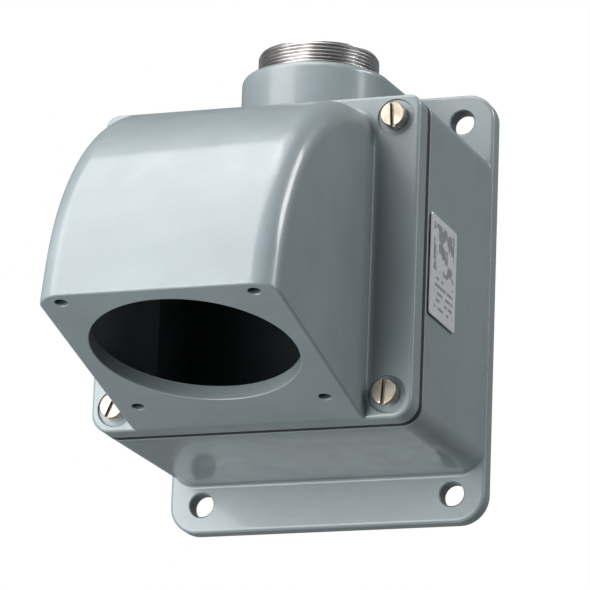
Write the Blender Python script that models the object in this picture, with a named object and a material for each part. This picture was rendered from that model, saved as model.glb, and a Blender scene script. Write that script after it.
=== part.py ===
"""Generator inlet box: a cast back box with a top conduit hub, and an angled inlet adapter bolted
to its front over a gasket.

Frame: X to the right, Y into the wall, Z up. The origin is the centre of the mounting plate's
back face, so the wall is the plane y = 0 and the box stands out towards -Y.
Sizes below are millimetres; meshes are written in metres.
"""
import math

import bmesh
import bpy
from mathutils import Matrix, Vector

MM = 0.001
GAP = 0.3                      # air left between pieces that touch
CLEAR = 2.0                    # how far a cutting shape runs past the surface it cuts

# mounting plate
PLATE_W, PLATE_H, PLATE_T = 136.0, 182.0, 7.5
PLATE_CORNER_R, PLATE_EDGE_R = 12.0, 1.0
WALL_HOLE_DX, WALL_HOLE_DZ, WALL_HOLE_D = 108.0, 158.0, 10.0

# box body, measured from its own centre height
BODY_Z = -5.5
BODY_FRONT_Y = -87.5
BODY_HALF_W, BODY_HALF_H = 66.7, 66.0
BODY_TOP_R, BODY_LOW_R = 5.5, 8.0       # corners of the rim, shared by the gasket and the flange
BODY_LOW_Z = BODY_Z - BODY_HALF_H
BODY_DRAFT = 0.4               # each side grows by this much towards the plate
FOOT_Z, FOOT_HALF_H = -4.0, 67.3        # height of the body where it meets the plate
FOOT_TOP_R, FOOT_LOW_R, FOOT_FLARE = 7.0, 11.0, 0.8
RIM_ROUND = 1.2                # break on the body's front edge
WALL = 4.5
FLOOR_Y = -5.5                 # inside face of the back wall
POST_R = 8.5                   # corner posts that take the adapter screws

# conduit hub on top
HUB_Y = -35.2
HUB_R, HUB_TOP_Z, HUB_ROUND = 31.4, 90.6, 3.2
HUB_SPREAD = 1.5               # each flank stands out this much further where it meets the plate
NIPPLE_R, NIPPLE_BORE_R, NIPPLE_TOP_Z, NIPPLE_LOW_Z = 25.0, 21.2, 101.4, 42.0
THREAD_PITCH, THREAD_DEPTH = 1.5, 0.9
HUB_BORE_R = 25.3
SEAL_ROOM, SEAL_R = 3.4, 1.2   # recess in the hub's mouth, and the ring that lies in it
LOCKNUT_T, LOCKNUT_R, LOCKNUT_ROOT_R, LOCKNUT_LUGS = 4.0, 28.8, 27.1, 8
BUSHING_R, BUSHING_THROAT_R, BUSHING_LIP = 27.8, 20.8, 3.5

# adapter
GASKET_T = 3.0
FLANGE_BACK_Y = BODY_FRONT_Y - GASKET_T - 2 * GAP
FLANGE_FRONT_Y = -101.3
HOOD_HALF_W, HOOD_R, HOOD_EDGE_R = 48.0, 111.0, 10.0
HOOD_CENTRE_Y, HOOD_CENTRE_Z = -99.5, -57.0    # the big radius is struck from here
HOOD_WALL = 4.5
PASSAGE_LOW_Z = BODY_LOW_Z + WALL + 1.0         # floor of the way from the hood into the box
FACE_TILT = math.radians(12.8)  # inlet face, from the horizontal
FACE_Y, FACE_Z = -163.6, -58.2  # centre of the inlet opening
FACE_T = 6.0
ROOT_FLARE = 2.0                # fillet where the hood leaves the flange
INLET_R, INLET_BREAK = 40.5, 0.9
INLET_DX, INLET_DS, INLET_TAP_R = 77.0, 85.0, 2.5
TAP_PAD_T = 12.0                # depth of the thickened corners that hold the inlet's screws

# adapter screws, M6 slotted cheese head
SCREW_PITCH = 113.0            # square pattern
SCREW_R, HEAD_R, HEAD_H = 3.0, 5.0, 3.9
SLOT_W, SLOT_D = 1.6, 1.6
WASHER_T, WASHER_R = 1.2, 4.9
SPOT_R, SPOT_DEPTH = 7.6, 1.0   # pocket cut into the flange and the hood's root for each head
SPOT_WALL, SPOT_DOME = 6.0, 9.0
SCREW_ENGAGED, HOLE_SPARE = 13.0, 5.0
CLEARANCE_R = 3.3

# ground terminal on the box floor
GROUND_X, GROUND_Z = 30.0, -38.0
GROUND_BOSS_Y, GROUND_BOSS_R = -10.5, 7.0
GROUND_R, GROUND_HOLE_DEPTH = 2.5, 7.0
LUG_W, LUG_T, LUG_TAIL, LUG_REACH = 12.0, 2.5, 7.0, 21.0
BARREL_RISE, BARREL_H, BARREL_T = 15.0, 12.0, 14.0
WIRE_HOLE_R = 3.3

# rating plate on the right wall
LABEL_Y, LABEL_Z, LABEL_W, LABEL_H, LABEL_T = -69.5, -4.5, 33.0, 41.5, 0.5


def clear_scene():
    for obj in list(bpy.data.objects):
        bpy.data.objects.remove(obj, do_unlink=True)


def material(name, colour, metallic, roughness):
    mat = bpy.data.materials.new(name)
    mat.use_nodes = True
    shader = mat.node_tree.nodes["Principled BSDF"]
    shader.inputs["Base Color"].default_value = (*colour, 1.0)
    shader.inputs["Metallic"].default_value = metallic
    shader.inputs["Roughness"].default_value = roughness
    mat.diffuse_color = (*colour, 1.0)
    return mat


def make_object(name, bm, mat=None, origin=(0.0, 0.0, 0.0)):
    """Turn a bmesh drawn in world millimetres into an object whose origin is at `origin`."""
    bmesh.ops.recalc_face_normals(bm, faces=bm.faces)
    bmesh.ops.translate(bm, verts=bm.verts, vec=-Vector(origin))
    bmesh.ops.scale(bm, verts=bm.verts, vec=(MM, MM, MM))
    mesh = bpy.data.meshes.new(name)
    bm.to_mesh(mesh)
    bm.free()
    mesh.shade_smooth()
    mesh.set_sharp_from_angle(angle=math.radians(32))
    obj = bpy.data.objects.new(name, mesh)
    obj.location = Vector(origin) * MM
    bpy.context.scene.collection.objects.link(obj)
    if mat:
        mesh.materials.append(mat)
    return obj


def loft(bm, rings):
    """Skin closed rings of equal length and cap both ends."""
    loops = [[bm.verts.new(p) for p in ring] for ring in rings]
    count = len(loops[0])
    for a, b in zip(loops, loops[1:]):
        for i in range(count):
            j = (i + 1) % count
            bm.faces.new((a[i], a[j], b[j], b[i]))
    bm.faces.new(loops[0][::-1])
    bm.faces.new(loops[-1])
    return bm


def turned(bm, profile, steps=32, matrix=None, arc=None):
    """Revolve a closed (radius, height) outline about Z; points at radius 0 become poles.
    `arc` limits the sweep to (start, end) in radians, with flat ends."""
    if arc:
        angles = [arc[0] + (arc[1] - arc[0]) * i / steps for i in range(steps + 1)]
    else:
        angles = [2 * math.pi * i / steps for i in range(steps)]
    columns, first_new = [], len(bm.verts)
    for r, h in profile:
        if r < 1e-6:
            columns.append([bm.verts.new((0.0, 0.0, h))])
        else:
            columns.append([bm.verts.new((r * math.cos(t), r * math.sin(t), h)) for t in angles])
    spans = len(angles) - 1 if arc else len(angles)
    for a, b in zip(columns, columns[1:] + columns[:1]):
        if len(a) == 1 and len(b) == 1:
            continue
        for i in range(spans):
            j = (i + 1) % len(angles)
            quad = [a[i % len(a)], a[j % len(a)], b[j % len(b)], b[i % len(b)]]
            corners = list(dict.fromkeys(quad))
            bm.faces.new(corners)
    if arc:
        bm.faces.new([c[0] for c in columns])
        bm.faces.new([c[-1] for c in columns][::-1])
    if matrix is not None:
        bm.verts.ensure_lookup_table()
        bmesh.ops.transform(bm, matrix=matrix, verts=bm.verts[first_new:])
    return bm


def aim(origin, direction):
    """Matrix that puts local +Z along `direction`, at `origin`."""
    turn = Vector(direction).normalized().to_track_quat("Z", "Y").to_matrix().to_4x4()
    return Matrix.Translation(Vector(origin)) @ turn


def cylinder(bm, start, direction, length, radius, steps=32):
    profile = [(0, 0), (radius, 0), (radius, length), (0, length)]
    return turned(bm, profile, steps, aim(start, direction))


def block(bm, low, high):
    x0, y0, z0 = low
    x1, y1, z1 = high
    return loft(bm, [[(x0, y0, z), (x1, y0, z), (x1, y1, z), (x0, y1, z)] for z in (z0, z1)])


def rounded_rect(half_x, half_z, radius, steps=6, low_radius=None):
    """Outline in X and Z about the centre, corner by corner; the lower two corners take
    `low_radius` when it is given."""
    points = []
    for sx, sz, start in ((1, 1, 0), (-1, 1, 90), (-1, -1, 180), (1, -1, 270)):
        r = low_radius if low_radius and sz < 0 else radius
        cx, cz = sx * (half_x - r), sz * (half_z - r)
        for i in range(steps + 1):
            t = math.radians(start + 90 * i / steps)
            points.append((cx + r * math.cos(t), cz + r * math.sin(t)))
    return points


def rect_ring(y, half_x, half_z, radius, centre_z=0.0, low_radius=None):
    outline = rounded_rect(half_x, half_z, radius, low_radius=low_radius)
    return [(x, y, z + centre_z) for x, z in outline]


def rim_ring(y, inset=0.0):
    """Outline shared by the body's rim, the gasket and the adapter's flange."""
    return rect_ring(y, BODY_HALF_W - inset, BODY_HALF_H - inset, BODY_TOP_R - inset, BODY_Z,
                     BODY_LOW_R - inset)


def cut(obj, name, bm, operation="DIFFERENCE"):
    """Add a Boolean with a hidden cutter built from `bm` (world millimetres)."""
    tool = make_object(name, bm)
    tool.display_type = "WIRE"
    tool.hide_render = True
    mod = obj.modifiers.new(name, "BOOLEAN")
    mod.operation = operation
    mod.solver = "EXACT"
    mod.object = tool
    return tool


def screw_positions():
    half = SCREW_PITCH / 2
    for tag, sx, sz in (("tl", -1, 1), ("tr", 1, 1), ("bl", -1, -1), ("br", 1, -1)):
        yield tag, sx * half, BODY_Z + sz * half


def cavity_outline():
    """Inside of the box: a rectangle whose corners step in around the screw posts."""
    a, b = BODY_HALF_W - WALL, BODY_HALF_H - WALL
    c = SCREW_PITCH / 2
    reach_z = c - math.sqrt(POST_R ** 2 - (a - c) ** 2)
    reach_x = c - math.sqrt(POST_R ** 2 - (b - c) ** 2)
    start = math.atan2(reach_z - c, a - c)
    end = math.atan2(b - c, reach_x - c) - 2 * math.pi
    steps = 8
    corner = []
    for i in range(steps + 1):
        t = start + (end - start) * i / steps
        corner.append((c + POST_R * math.cos(t), c + POST_R * math.sin(t)))
    points = list(corner)
    points += [(-x, z) for x, z in reversed(corner)]
    points += [(-x, -z) for x, z in corner]
    points += [(x, -z) for x, z in reversed(corner)]
    return points


def build_back_box(paint):
    half_w, half_h = PLATE_W / 2, PLATE_H / 2
    bm = loft(bmesh.new(), [
        rect_ring(y, half_w - inset, half_h - inset, PLATE_CORNER_R - inset)
        for y, inset in ((0.0, 0.0), (-PLATE_T + PLATE_EDGE_R, 0.0),
                         (-PLATE_T + 0.3 * PLATE_EDGE_R, 0.3 * PLATE_EDGE_R),
                         (-PLATE_T, PLATE_EDGE_R))])
    box = make_object("back_box", bm, paint)

    front = BODY_FRONT_Y
    rings = [
        rect_ring(y, BODY_HALF_W + BODY_DRAFT, FOOT_HALF_H + foot * FOOT_FLARE,
                  FOOT_TOP_R - sharper, FOOT_Z, FOOT_LOW_R - sharper)
        for y, foot, sharper in ((-PLATE_T / 2, 1.0, 0.0), (-PLATE_T, 1.0, 0.0),
                                 (-PLATE_T - 0.6, 0.4, 0.5), (-PLATE_T - 2.0, 0.0, 1.0))]
    rings += [rim_ring(y, inset) for y, inset in ((front + RIM_ROUND, 0.0),
                                                  (front + 0.3 * RIM_ROUND, 0.3 * RIM_ROUND),
                                                  (front, RIM_ROUND))]
    cut(box, "body_solid", loft(bmesh.new(), rings), "UNION")

    def hub_ring(z, inset):
        r = HUB_R - inset
        arc = [math.radians(180 + 180 * i / 20) for i in range(21)]
        ring = [(r * math.cos(t), HUB_Y + r * math.sin(t), z) for t in arc]
        foot = r + HUB_SPREAD
        return ring + [(foot, -PLATE_T / 2, z), (-foot, -PLATE_T / 2, z)]

    levels = [(BODY_Z + BODY_HALF_H - WALL / 2, 0.0), (HUB_TOP_Z - HUB_ROUND, 0.0)]
    for i in range(1, 5):
        t = math.radians(90 * i / 4)
        levels.append((HUB_TOP_Z - HUB_ROUND * (1 - math.sin(t)), HUB_ROUND * (1 - math.cos(t))))
    cut(box, "hub_solid", loft(bmesh.new(), [hub_ring(z, d) for z, d in levels]), "UNION")

    outline = cavity_outline()
    rings = [[(x, y, z + BODY_Z) for x, z in outline] for y in (FLOOR_Y, front - 5.0)]
    cut(box, "cavity", loft(bmesh.new(), rings))

    rooted = FLOOR_Y + 1.5
    bm = cylinder(bmesh.new(), (GROUND_X, rooted, GROUND_Z), (0, -1, 0),
                  rooted - GROUND_BOSS_Y, GROUND_BOSS_R, 24)
    cut(box, "ground_boss", bm, "UNION")

    bm = bmesh.new()
    for sx in (-1, 1):
        for sz in (-1, 1):
            cylinder(bm, (sx * WALL_HOLE_DX / 2, CLEAR, sz * WALL_HOLE_DZ / 2), (0, -1, 0),
                     PLATE_T + 3 * CLEAR, WALL_HOLE_D / 2, 28)
    for _, x, z in screw_positions():
        cylinder(bm, (x, front - CLEAR, z), (0, 1, 0), CLEAR + SCREW_ENGAGED + HOLE_SPARE,
                 SCREW_R + 0.1, 24)
    cylinder(bm, (GROUND_X, GROUND_BOSS_Y - CLEAR, GROUND_Z), (0, 1, 0),
             CLEAR + GROUND_HOLE_DEPTH, GROUND_R + 0.1, 24)
    below, above = NIPPLE_LOW_Z - CLEAR, HUB_TOP_Z + 2 * CLEAR
    seat, seat_r = HUB_TOP_Z - SEAL_ROOM, HUB_BORE_R + 2 * SEAL_R + 0.4
    turned(bm, [(0, below), (HUB_BORE_R, below), (HUB_BORE_R, seat), (seat_r, seat),
                (seat_r, above), (0, above)], 48, Matrix.Translation((0, HUB_Y, 0)))
    cut(box, "bores", bm)
    return box


def hood_side(inset, floor, low, back_y):
    """Side outline in (y, z): the quarter-round top moved in by `inset`, the inclined face moved
    up by `floor`, the underside at `low`, ending at `back_y`."""
    radius = HOOD_R - inset
    down = Vector((-math.sin(FACE_TILT), -math.cos(FACE_TILT)))     # down the front wall
    rearward = Vector((math.cos(FACE_TILT), -math.sin(FACE_TILT)))  # back along the face
    centre = Vector((HOOD_CENTRE_Y, HOOD_CENTRE_Z))
    first = math.pi / 2 - FACE_TILT
    steps = 14
    arc = []
    for i in range(steps + 1):
        t = first * (1 - i / steps)
        arc.append(centre + radius * Vector((-math.sin(t), math.cos(t))))
    face_point = Vector((FACE_Y, FACE_Z)) - floor * down
    lip = arc[0] + (face_point - arc[0]).dot(down) * down
    heel = lip + rearward * ((lip.y - low) / math.sin(FACE_TILT))
    points = [lip] + arc + [Vector((back_y, arc[-1].y)), Vector((back_y, low)), heel]
    return [(p.x, p.y) for p in points]


def hood_solid(wall, floor, low, back_y, edge_r, segments):
    """Skin the side outline across X; towards each side the top draws in along a quarter circle,
    which rounds the two long upper edges."""
    half = HOOD_HALF_W - wall
    stations = []
    for i in range(segments + 1):
        t = math.radians(90 * i / segments)
        stations.append((half - edge_r * (1 - math.cos(t)), edge_r * (1 - math.sin(t))))
    stations = [(-x, d) for x, d in stations] + stations[::-1]
    return loft(bmesh.new(), [
        [(x, y, z) for y, z in hood_side(wall + d, floor, low, back_y)] for x, d in stations])


def face_matrix(x, s):
    """Frame on the inlet face: X across, Y forward and up along it, +Z out of the face."""
    c, k = math.cos(FACE_TILT), math.sin(FACE_TILT)
    matrix = Matrix(((1, 0, 0), (0, -c, -k), (0, k, -c))).to_4x4()
    matrix.translation = (x, FACE_Y - s * c, FACE_Z + s * k)
    return matrix


def build_adapter(paint):
    origin = (0.0, FLANGE_BACK_Y, BODY_Z)
    front, back = FLANGE_FRONT_Y, FLANGE_BACK_Y
    bm = loft(bmesh.new(), [
        rim_ring(y, inset) for y, inset in ((back, 1.0), (back - 0.3, 0.3), (back - 1.0, 0.0),
                                            (front + 1.2, 0.0), (front + 0.4, 0.35),
                                            (front, 1.2))])
    adapter = make_object("angle_adapter", bm, paint, origin)
    cut(adapter, "hood_outer",
        hood_solid(0.0, 0.0, BODY_LOW_Z, front + 6.0, HOOD_EDGE_R, 6), "UNION")

    def root_ring(y, grow):
        top, low = HOOD_CENTRE_Z + HOOD_R + grow, BODY_LOW_Z + 0.6
        return rect_ring(y, HOOD_HALF_W + grow, (top - low) / 2, HOOD_EDGE_R + grow,
                         (top + low) / 2)

    steps = ((CLEAR, ROOT_FLARE), (0.0, ROOT_FLARE), (-0.6, 0.9), (-2.0, 0.15), (-4.0, -1.0))
    cut(adapter, "hood_root",
        loft(bmesh.new(), [root_ring(front + dy, grow) for dy, grow in steps]), "UNION")

    wide, deep = INLET_R + INLET_BREAK, TAP_PAD_T + CLEAR
    bm = turned(bmesh.new(), [(0, CLEAR), (wide, CLEAR), (wide, 0.0), (INLET_R, -INLET_BREAK),
                              (INLET_R, -deep), (0, -deep)], 56, face_matrix(0, 0))
    cut(adapter, "inlet_opening", bm)

    cut(adapter, "hood_inner",
        hood_solid(HOOD_WALL, FACE_T, PASSAGE_LOW_Z, back + 5.0, HOOD_EDGE_R - HOOD_WALL, 3))

    bm = bmesh.new()
    inside = HOOD_HALF_W - HOOD_WALL + 1.1
    for x0, x1 in ((-inside, -inside + 11.0), (inside - 11.0, inside)):
        for s0, s1 in ((-47.6, -37.4), (37.4, 44.4)):
            block(bm, (x0, s0, -TAP_PAD_T), (x1, s1, -FACE_T / 2))
    bmesh.ops.transform(bm, matrix=face_matrix(0, 0), verts=bm.verts[:])
    cut(adapter, "tap_pads", bm, "UNION")

    bm = bmesh.new()
    deep = TAP_PAD_T - 2.0
    for sx in (-1, 1):
        for ss in (-1, 1):
            turned(bm, [(0, CLEAR), (INLET_TAP_R, CLEAR), (INLET_TAP_R, -deep), (0, -deep)], 20,
                   face_matrix(sx * INLET_DX / 2, ss * INLET_DS / 2))
    cut(adapter, "inlet_taps", bm)

    bm = bmesh.new()
    for _, x, z in screw_positions():
        cylinder(bm, (x, back + CLEAR, z), (0, -1, 0), back - front + 2 * CLEAR, CLEARANCE_R, 20)
    cut(adapter, "screw_clearance", bm)

    bm = bmesh.new()
    dome = [(SPOT_R * math.cos(t), SPOT_WALL + SPOT_DOME * math.sin(t))
            for t in (0.0, math.radians(30), math.radians(60))]
    outline = [(0, 0), (SPOT_R, 0)] + dome + [(0, SPOT_WALL + SPOT_DOME)]
    for _, x, z in screw_positions():
        turned(bm, outline, 28, aim((x, front + SPOT_DEPTH, z), (0, -1, 0)))
    cut(adapter, "screw_pockets", bm)
    return adapter


def build_gasket(rubber):
    y0 = BODY_FRONT_Y - GAP
    bm = loft(bmesh.new(), [rim_ring(y, 0.2) for y in (y0, y0 - GASKET_T)])
    gasket = make_object("box_gasket", bm, rubber)
    top = HOOD_CENTRE_Z + HOOD_R - HOOD_WALL
    half_h, mid = (top - PASSAGE_LOW_Z) / 2 + 0.5, (top + PASSAGE_LOW_Z) / 2
    bm = loft(bmesh.new(), [
        rect_ring(y, HOOD_HALF_W - HOOD_WALL + 1.0, half_h, 6.0, mid)
        for y in (y0 + CLEAR, y0 - GASKET_T - CLEAR)])
    for _, x, z in screw_positions():
        cylinder(bm, (x, y0 + CLEAR, z), (0, -1, 0), GASKET_T + 2 * CLEAR, CLEARANCE_R + 0.2, 20)
    cut(gasket, "gasket_holes", bm)
    return gasket


def baked(obj):
    """Mesh of an object with its modifiers applied."""
    graph = bpy.context.evaluated_depsgraph_get()
    return bpy.data.meshes.new_from_object(obj.evaluated_get(graph))


def screw_mesh(name, mat, shank_r, shank_len, head_r, head_h, slot_w, slot_d, steps=24):
    """Slotted screw about local Z: head seat at 0, head towards +Z, tip towards -Z."""
    profile = [(0, -shank_len), (shank_r * 0.7, -shank_len), (shank_r, -shank_len + shank_r * 0.3),
               (shank_r, 0), (head_r, 0), (head_r, head_h - 0.4), (head_r - 0.4, head_h),
               (0, head_h)]
    blank = make_object(name + "_blank", turned(bmesh.new(), profile, steps), mat)
    bm = block(bmesh.new(), (-slot_w / 2, -head_r - 1, head_h - slot_d),
               (slot_w / 2, head_r + 1, head_h + 1))
    tool = cut(blank, name + "_slot", bm)
    mesh = baked(blank)
    mesh.name = name
    bpy.data.objects.remove(blank, do_unlink=True)
    bpy.data.objects.remove(tool, do_unlink=True)
    return mesh


def place(name, mesh, location, direction, spin=0.0, parent=None):
    """Object on `mesh` with its local +Z along `direction`, turned by `spin` degrees."""
    obj = bpy.data.objects.new(name, mesh)
    bpy.context.scene.collection.objects.link(obj)
    base = parent.location if parent else Vector((0, 0, 0))
    matrix = aim((0, 0, 0), direction) @ Matrix.Rotation(math.radians(spin), 4, "Z")
    obj.rotation_euler = matrix.to_euler()
    obj.location = Vector(location) * MM - base
    if parent:
        obj.parent = parent
    return obj


def build_adapter_screws(adapter, brass, steel):
    seat_y = FLANGE_FRONT_Y + SPOT_DEPTH
    head_y = seat_y - 2 * GAP - WASHER_T
    length = BODY_FRONT_Y + SCREW_ENGAGED - head_y
    mesh = screw_mesh("adapter_screw", brass, SCREW_R, length, HEAD_R, HEAD_H, SLOT_W, SLOT_D)
    ring = [(SCREW_R + 0.2, 0), (WASHER_R, 0), (WASHER_R, WASHER_T), (SCREW_R + 0.2, WASHER_T)]
    washer = make_object("lock_washer", turned(bmesh.new(), ring, 24, None,
                                               (math.radians(6), math.radians(354))), steel)
    spins = {"tl": 18.0, "tr": 3.0, "bl": -24.0, "br": -4.0}
    for tag, x, z in screw_positions():
        place("adapter_screw_" + tag, mesh, (x, head_y, z), (0, -1, 0), spins[tag], adapter)
        place("lock_washer_" + tag, washer.data, (x, seat_y - GAP, z), (0, -1, 0),
              spins[tag] + 70.0, adapter)
    bpy.data.objects.remove(washer, do_unlink=True)


def build_conduit_parts(steel, zinc, nylon, rubber):
    """Threaded nipple with its sealing ring, locknut and wire-guard bushing."""
    at_hub = Matrix.Translation((0, HUB_Y, 0))
    outer = [(NIPPLE_R - 0.8, NIPPLE_LOW_Z), (NIPPLE_R, NIPPLE_LOW_Z + 0.8),
             (NIPPLE_R, HUB_TOP_Z + 0.3)]
    crest = HUB_TOP_Z + 0.3
    while crest + THREAD_PITCH < NIPPLE_TOP_Z - 0.6:
        outer += [(NIPPLE_R - THREAD_DEPTH, crest + THREAD_PITCH * 0.5),
                  (NIPPLE_R, crest + THREAD_PITCH * 0.9), (NIPPLE_R, crest + THREAD_PITCH)]
        crest += THREAD_PITCH
    outer += [(NIPPLE_R - 0.9, NIPPLE_TOP_Z), (NIPPLE_BORE_R + 0.6, NIPPLE_TOP_Z),
              (NIPPLE_BORE_R, NIPPLE_TOP_Z - 0.6), (NIPPLE_BORE_R, NIPPLE_LOW_Z + 0.6),
              (NIPPLE_BORE_R + 0.6, NIPPLE_LOW_Z)]
    make_object("conduit_nipple", turned(bmesh.new(), outer, 48, at_hub), steel)

    centre_r, centre_z = NIPPLE_R + GAP + SEAL_R, HUB_TOP_Z - SEAL_ROOM + GAP + SEAL_R
    ring = [(centre_r + SEAL_R * math.cos(math.radians(a)),
             centre_z + SEAL_R * math.sin(math.radians(a))) for a in range(0, 360, 45)]
    make_object("hub_seal_ring", turned(bmesh.new(), ring, 40, at_hub), rubber)

    top = BODY_Z + BODY_HALF_H - WALL - GAP
    outline = []
    for i in range(LOCKNUT_LUGS):
        for share, r in ((0.0, LOCKNUT_R), (0.25, LOCKNUT_R), (0.5, LOCKNUT_R),
                         (0.58, LOCKNUT_ROOT_R), (0.75, LOCKNUT_ROOT_R), (0.92, LOCKNUT_ROOT_R)):
            t = 2 * math.pi * (i + share) / LOCKNUT_LUGS
            outline.append((r * math.cos(t), HUB_Y + r * math.sin(t)))
    bm = loft(bmesh.new(), [[(x, y, z) for x, y in outline] for z in (top - LOCKNUT_T, top)])
    nut = make_object("hub_locknut", bm, zinc)
    cut(nut, "locknut_bore", cylinder(bmesh.new(), (0, HUB_Y, top - LOCKNUT_T - CLEAR), (0, 0, 1),
                                      LOCKNUT_T + 2 * CLEAR, NIPPLE_R + GAP, 48))

    high, low, under = top - LOCKNUT_T - GAP, NIPPLE_LOW_Z - BUSHING_LIP, NIPPLE_LOW_Z - GAP
    ring = [(NIPPLE_R + GAP, high), (BUSHING_R - 0.3, high), (BUSHING_R, high - 1.0),
            (BUSHING_R, low + 1.5), (BUSHING_R - 1.5, low), (BUSHING_THROAT_R + 1.4, low),
            (BUSHING_THROAT_R, low + 1.2), (BUSHING_THROAT_R, under), (NIPPLE_R + GAP, under)]
    make_object("throat_bushing", turned(bmesh.new(), ring, 40, at_hub), nylon)


def build_ground(tinned, green, steel, brass):
    """Grounding lug on its pad, the screw and washer that hold it, and its wire clamp screw."""
    x, y, z = GROUND_X, GROUND_BOSS_Y - GAP, GROUND_Z
    half = LUG_W / 2
    barrel = z + BARREL_RISE
    bm = block(bmesh.new(), (x - half, y - LUG_T, z - LUG_TAIL), (x + half, y, z + LUG_REACH))
    lug = make_object("ground_lug", bm, tinned)
    bm = block(bmesh.new(), (x - half + 0.2, y - BARREL_T, barrel - BARREL_H / 2),
               (x + half - 0.2, y - LUG_T / 2, barrel + BARREL_H / 2 - 0.2))
    cut(lug, "lug_barrel", bm, "UNION")
    bm = cylinder(bmesh.new(), (x, y + CLEAR, z), (0, -1, 0), LUG_T + 2 * CLEAR, GROUND_R + 0.2, 20)
    cylinder(bm, (x, y - WIRE_HOLE_R - 1.9, barrel - BARREL_H / 2 - CLEAR), (0, 0, 1),
             BARREL_H + 2 * CLEAR, WIRE_HOLE_R, 20)
    cut(lug, "lug_wire_hole", bm)
    bm = cylinder(bmesh.new(), (x, y - BARREL_T - CLEAR, barrel), (0, 1, 0), 10.0, SCREW_R + 0.1, 20)
    cut(lug, "lug_screw_hole", bm)

    washer_y, washer_t = y - LUG_T - GAP, 1.0
    ring = [(GROUND_R + 0.25, 0), (5.1, 0), (5.1, washer_t), (GROUND_R + 0.25, washer_t)]
    turn = aim((x, washer_y, z), (0, -1, 0))
    make_object("ground_washer", turned(bmesh.new(), ring, 24, turn), steel)
    head_y = washer_y - washer_t - GAP
    length = GROUND_BOSS_Y + GROUND_HOLE_DEPTH - 1.5 - head_y
    mesh = screw_mesh("ground_screw", green, GROUND_R, length, 4.6, 3.2, 1.3, 1.5)
    place("ground_screw", mesh, (x, head_y, z), (0, -1, 0), 35.0)
    mesh = screw_mesh("lug_clamp_screw", brass, SCREW_R, 12.0, 4.2, 3.0, 1.3, 1.4, 20)
    place("lug_clamp_screw", mesh, (x, y - BARREL_T - 6.6, barrel), (0, -1, 0), -20.0)


def build_label(foil):
    x = BODY_HALF_W + BODY_DRAFT + 0.2
    outline = rounded_rect(LABEL_W / 2, LABEL_H / 2, 1.5, 3)
    bm = loft(bmesh.new(), [[(xx, LABEL_Y + a, LABEL_Z + b) for a, b in outline]
                            for xx in (x, x + LABEL_T)])
    make_object("rating_plate", bm, foil)


clear_scene()
grey_paint = material("grey_paint", (0.17, 0.20, 0.21), 0.15, 0.38)
black_rubber = material("black_rubber", (0.02, 0.02, 0.02), 0.0, 0.8)
nickel_brass = material("nickel_brass", (0.66, 0.60, 0.46), 1.0, 0.3)
plain_steel = material("plain_steel", (0.55, 0.55, 0.56), 1.0, 0.3)
zinc_plate = material("zinc_plate", (0.50, 0.51, 0.52), 1.0, 0.42)
black_nylon = material("black_nylon", (0.03, 0.03, 0.03), 0.0, 0.5)
tin_plate = material("tin_plate", (0.62, 0.62, 0.60), 1.0, 0.35)
green_screw = material("green_screw", (0.04, 0.25, 0.08), 0.3, 0.4)
silver_foil = material("silver_foil", (0.75, 0.76, 0.77), 0.6, 0.4)

build_back_box(grey_paint)
adapter_body = build_adapter(grey_paint)
build_gasket(black_rubber)
build_adapter_screws(adapter_body, nickel_brass, plain_steel)
build_conduit_parts(plain_steel, zinc_plate, black_nylon, black_rubber)
build_ground(tin_plate, green_screw, plain_steel, nickel_brass)
build_label(silver_foil)
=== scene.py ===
"""Looks of the generator inlet box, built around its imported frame.

Each piece stands for one node of the frame, at a finer resolution and with the real fillets, threads
and edge breaks. Meshes are drawn in millimetres in the frame's own axes (X right, Y into the wall,
Z up) and stored in metres. What the frame already fixes, such as the outer sizes and the places of
the fasteners, is read from its nodes.
"""
import math

import bmesh
import bpy
from mathutils import Matrix, Quaternion, Vector


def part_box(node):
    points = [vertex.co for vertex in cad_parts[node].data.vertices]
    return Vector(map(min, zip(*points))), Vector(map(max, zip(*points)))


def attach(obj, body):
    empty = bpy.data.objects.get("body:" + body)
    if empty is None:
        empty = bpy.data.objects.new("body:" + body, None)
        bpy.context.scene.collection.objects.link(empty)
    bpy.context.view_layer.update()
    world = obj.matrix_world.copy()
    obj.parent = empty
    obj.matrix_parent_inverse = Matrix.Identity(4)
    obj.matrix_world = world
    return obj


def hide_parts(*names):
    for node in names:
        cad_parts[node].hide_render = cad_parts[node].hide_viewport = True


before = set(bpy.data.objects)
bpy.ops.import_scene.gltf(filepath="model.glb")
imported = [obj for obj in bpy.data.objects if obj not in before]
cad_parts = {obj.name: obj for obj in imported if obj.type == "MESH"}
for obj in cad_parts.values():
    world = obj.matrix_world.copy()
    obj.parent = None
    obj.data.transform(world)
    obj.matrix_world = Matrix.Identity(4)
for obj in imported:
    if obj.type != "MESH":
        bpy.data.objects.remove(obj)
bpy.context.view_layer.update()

MM = 0.001


def node_box(node):
    """Lowest and highest corner of a frame node, in millimetres."""
    low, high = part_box(node)
    return Vector(low) / MM, Vector(high) / MM


# ---------------------------------------------------------------- sizes in millimetres
# An ending says what a number is: W width, H height, T thickness, R radius, BREAK a small chamfer,
# SINK how far a part runs on inside its neighbour before the two are joined.
BOX_LOW, BOX_HIGH = node_box("back_box")
ADAPTER_LOW, ADAPTER_HIGH = node_box("angle_adapter")
NIPPLE_LOW, NIPPLE_HIGH = node_box("conduit_nipple")
GAP = 0.3           # room between pieces that only just miss each other
CLEAR = 2.0         # how far a cutter stands out of the surface that it cuts
HOLLOW_CLEAR = 5.0  # the same for the two large hollows

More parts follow.
